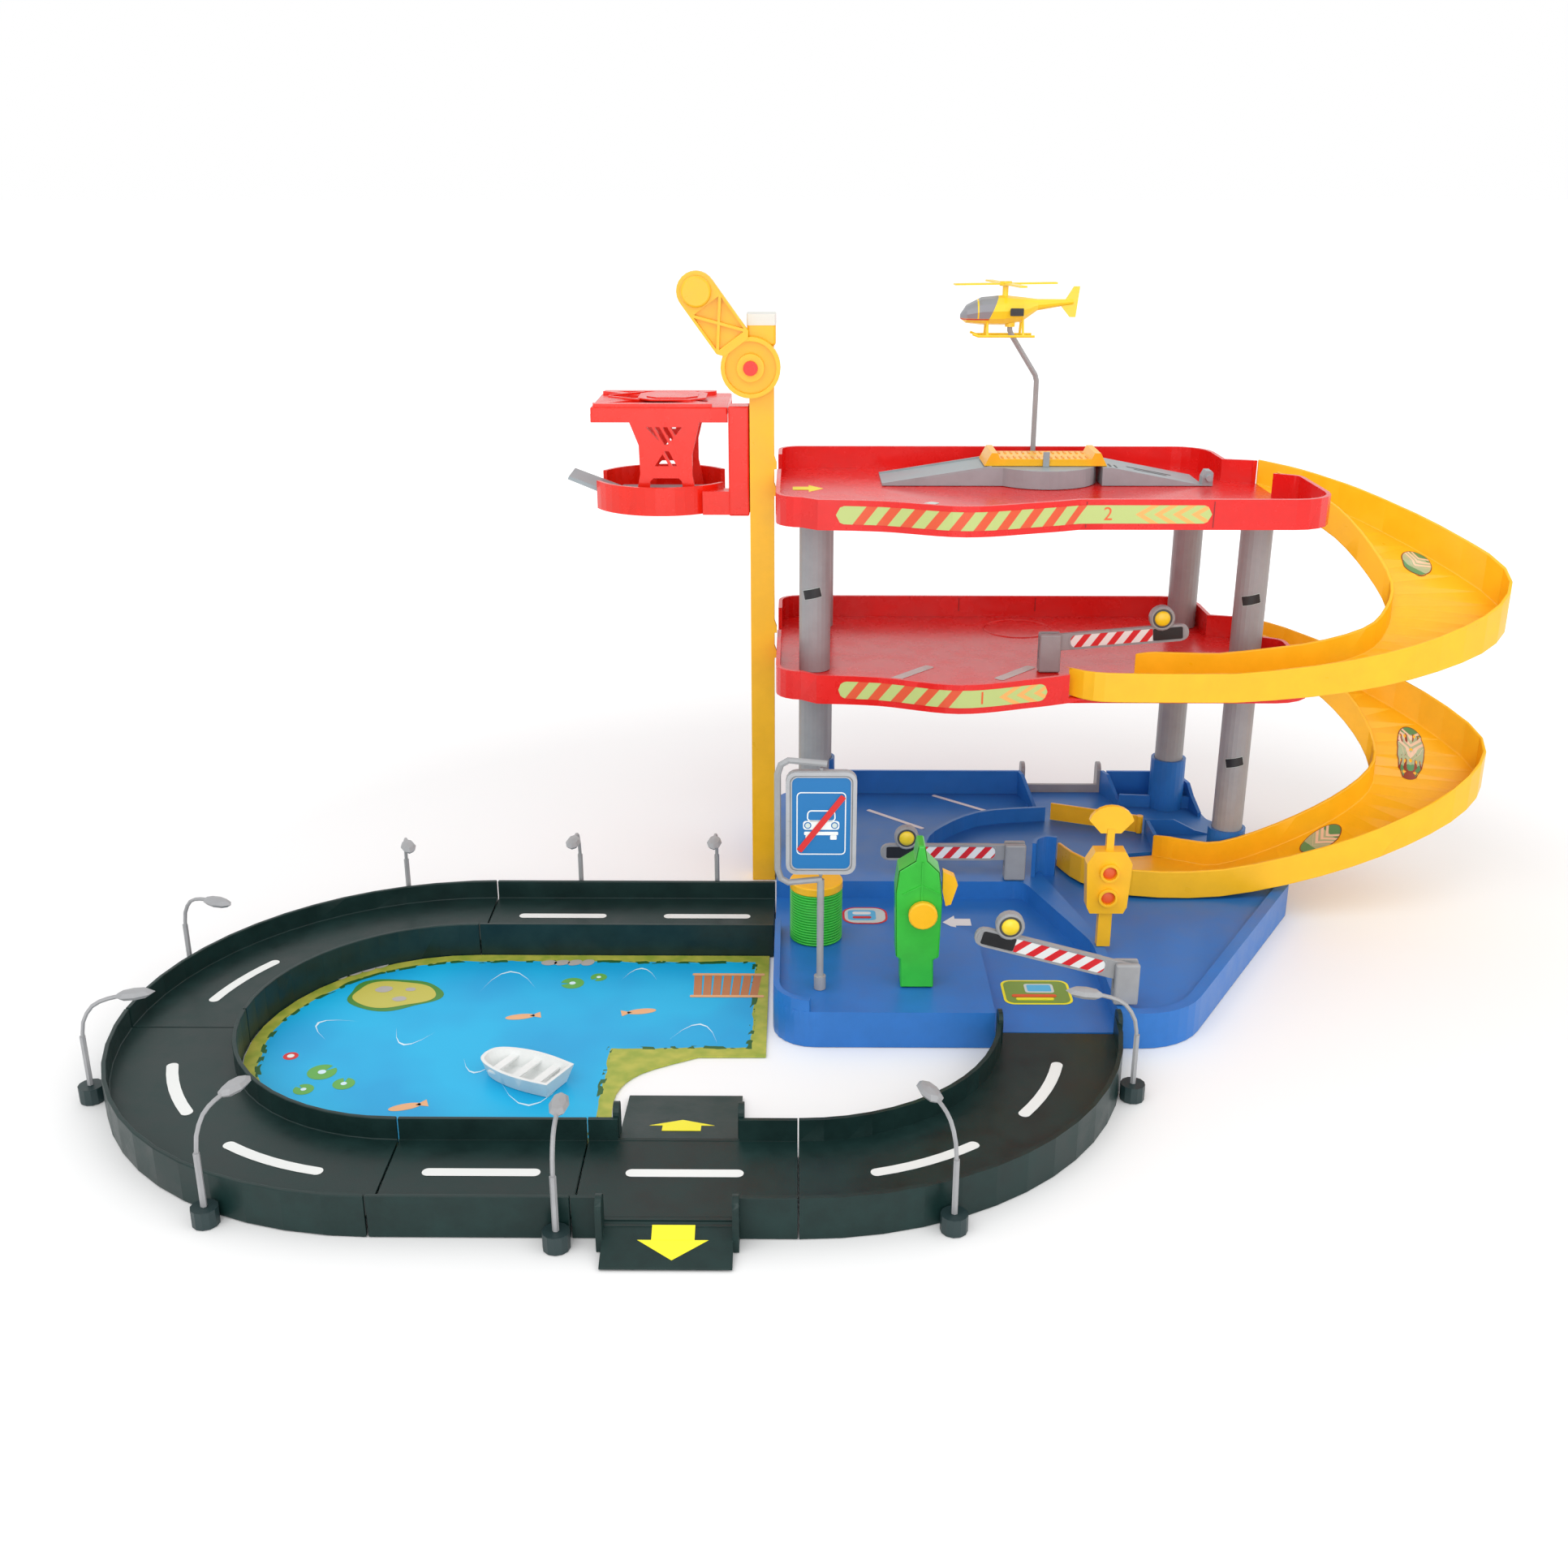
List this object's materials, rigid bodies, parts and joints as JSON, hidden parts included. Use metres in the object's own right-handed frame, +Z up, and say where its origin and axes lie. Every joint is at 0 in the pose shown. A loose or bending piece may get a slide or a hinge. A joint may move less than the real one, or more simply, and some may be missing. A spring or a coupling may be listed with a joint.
{
  "type": "toy garage",
  "caption": "Toy parking garage: blue base, red decks on columns, a cranked lift, curved ramps, a track loop with street lamps and a printed mat.",
  "frame": {"origin": "on the ground under the base plate's middle rib", "axes": "+X to the right, +Y to the back, +Z up, seen from the front where the track's junction is"},
  "size_m": [0.8307, 0.5891, 0.4047],
  "materials": {
    "track": "fine matt, dark green-grey",
    "blue": "satin",
    "red": "glossy, slightly see-through at edges",
    "yellow": "glossy",
    "grey": "satin",
    "light_grey": "satin",
    "green": "satin",
    "print": "printed, coated card",
    "white": "satin"
  },
  "bodies": {
    "garage": {"barrier_post_base_front": "grey", "barrier_post_base_rear": "grey", "barrier_post_level_1": "grey", "base_plate": "blue", "boat": "white", "deck_1": "red", "deck_2": "red", "heli_rod": "grey", "junction_ramp_back": "track", "junction_ramp_front": "track", "lake_mat": "print", "launch_ramp": "light_grey", "lift_mast": "yellow", "lower_column_back_left": "grey", "lower_column_back_right": "grey", "lower_column_front_left": "grey", "lower_column_front_right": "grey", "lower_ramp": "yellow", "pump_body": "green", "pump_nozzle": "yellow", "rear_ramp": "grey", "sign_post": "grey", "street_lamp_1": "grey", "street_lamp_2": "grey", "street_lamp_3": "grey", "street_lamp_4": "grey", "street_lamp_5": "grey", "street_lamp_6": "grey", "street_lamp_7": "grey", "street_lamp_8": "grey", "street_lamp_9": "grey", "track_back_straight": "track", "track_curve_front_left": "track", "track_curve_front_right": "track", "track_curve_rear_left": "track", "track_front_straight": "track", "track_junction": "track", "traffic_light": "yellow", "turntable_base": "light_grey", "upper_column_back_left": "grey", "upper_column_back_right": "grey", "upper_column_front_left": "grey", "upper_column_front_right": "grey", "upper_ramp": "yellow"},
    "lift_car": {"lift_tray": "red", "lift_cab": "red"},
    "lift_platform": {"lift_floor": "light_grey"},
    "crank_and_drum": {"crank": "yellow", "crank_axle": "red"},
    "turntable_top": {"turntable": "yellow"},
    "level_1_arm": {"barrier_arm_level_1": "grey"},
    "base_rear_arm": {"barrier_arm_base_rear": "grey"},
    "base_front_arm": {"barrier_arm_base_front": "grey"},
    "roller_drum": {"roller": "green"},
    "sign": {"sign_panel": "blue"},
    "helicopter": {"heli_body": "yellow"},
    "rotor": {"heli_rotor": "yellow"},
    "knob": {"pump_knob": "yellow"},
    "gate": {"lane_gate": "yellow"}
  },
  "joints": [
    {"name": "crank_turn", "type": "hinge", "parent": "garage", "child": "crank_and_drum", "pos_m": [-0.184, 0.065, 0.3475], "axis": [0, 1, 0], "range_deg": [0, 2750]},
    {"name": "lift_slide", "type": "slide", "parent": "garage", "child": "lift_car", "axis": [0, 0, 1], "range_m": [-0.25, 0]},
    {"name": "platform_tilt", "type": "hinge", "parent": "lift_car", "child": "lift_platform", "pos_m": [-0.2088, 0.102, 0.2596], "axis": [0, 1, 0], "range_deg": [0, 12]},
    {"name": "turntable_spin", "type": "hinge", "parent": "garage", "child": "turntable_top", "pos_m": [0.009, 0.121, 0.2786], "axis": [0, 0, 1], "continuous": true},
    {"name": "level_1_barrier", "type": "hinge", "parent": "garage", "child": "level_1_arm", "pos_m": [0.007, 0.032, 0.178], "axis": [0, -1, 0], "range_deg": [-5, 60]},
    {"name": "base_rear_barrier", "type": "hinge", "parent": "garage", "child": "base_rear_arm", "pos_m": [-0.011, 0.012, 0.041], "axis": [0, 1, 0], "range_deg": [0, 80]},
    {"name": "base_front_barrier", "type": "hinge", "parent": "garage", "child": "base_front_arm", "pos_m": [0.03, -0.16, 0.041], "axis": [0, 1, 0], "range_deg": [-15, 65]},
    {"name": "roller_spin", "type": "hinge", "parent": "garage", "child": "roller_drum", "pos_m": [-0.1428, -0.0765, 0.0223], "axis": [0, 0, 1], "continuous": true},
    {"name": "sign_swivel", "type": "hinge", "parent": "garage", "child": "sign", "pos_m": [-0.1413, -0.1448, 0.1245], "axis": [0, 0, 1], "continuous": true},
    {"name": "helicopter_swivel", "type": "hinge", "parent": "garage", "child": "helicopter", "pos_m": [-0.011, 0.1675, 0.3725], "axis": [0, 0, 1], "continuous": true},
    {"name": "rotor_spin", "type": "hinge", "parent": "helicopter", "child": "rotor", "pos_m": [-0.015, 0.1675, 0.3888], "axis": [0, 0, 1], "continuous": true},
    {"name": "pump_knob_turn", "type": "hinge", "parent": "garage", "child": "knob", "pos_m": [-0.0837, -0.1448, 0.0693], "axis": [0, 1, 0], "continuous": true},
    {"name": "lane_gate_swing", "type": "hinge", "parent": "garage", "child": "gate", "pos_m": [0.0875, 0.0925, 0.0225], "axis": [0, 0, -1], "range_deg": [0, 45]}
  ],
  "couplings": [
    {"joint": "lift_slide", "follows": "crank_turn", "m_per_rad": -0.0052}
  ]
}
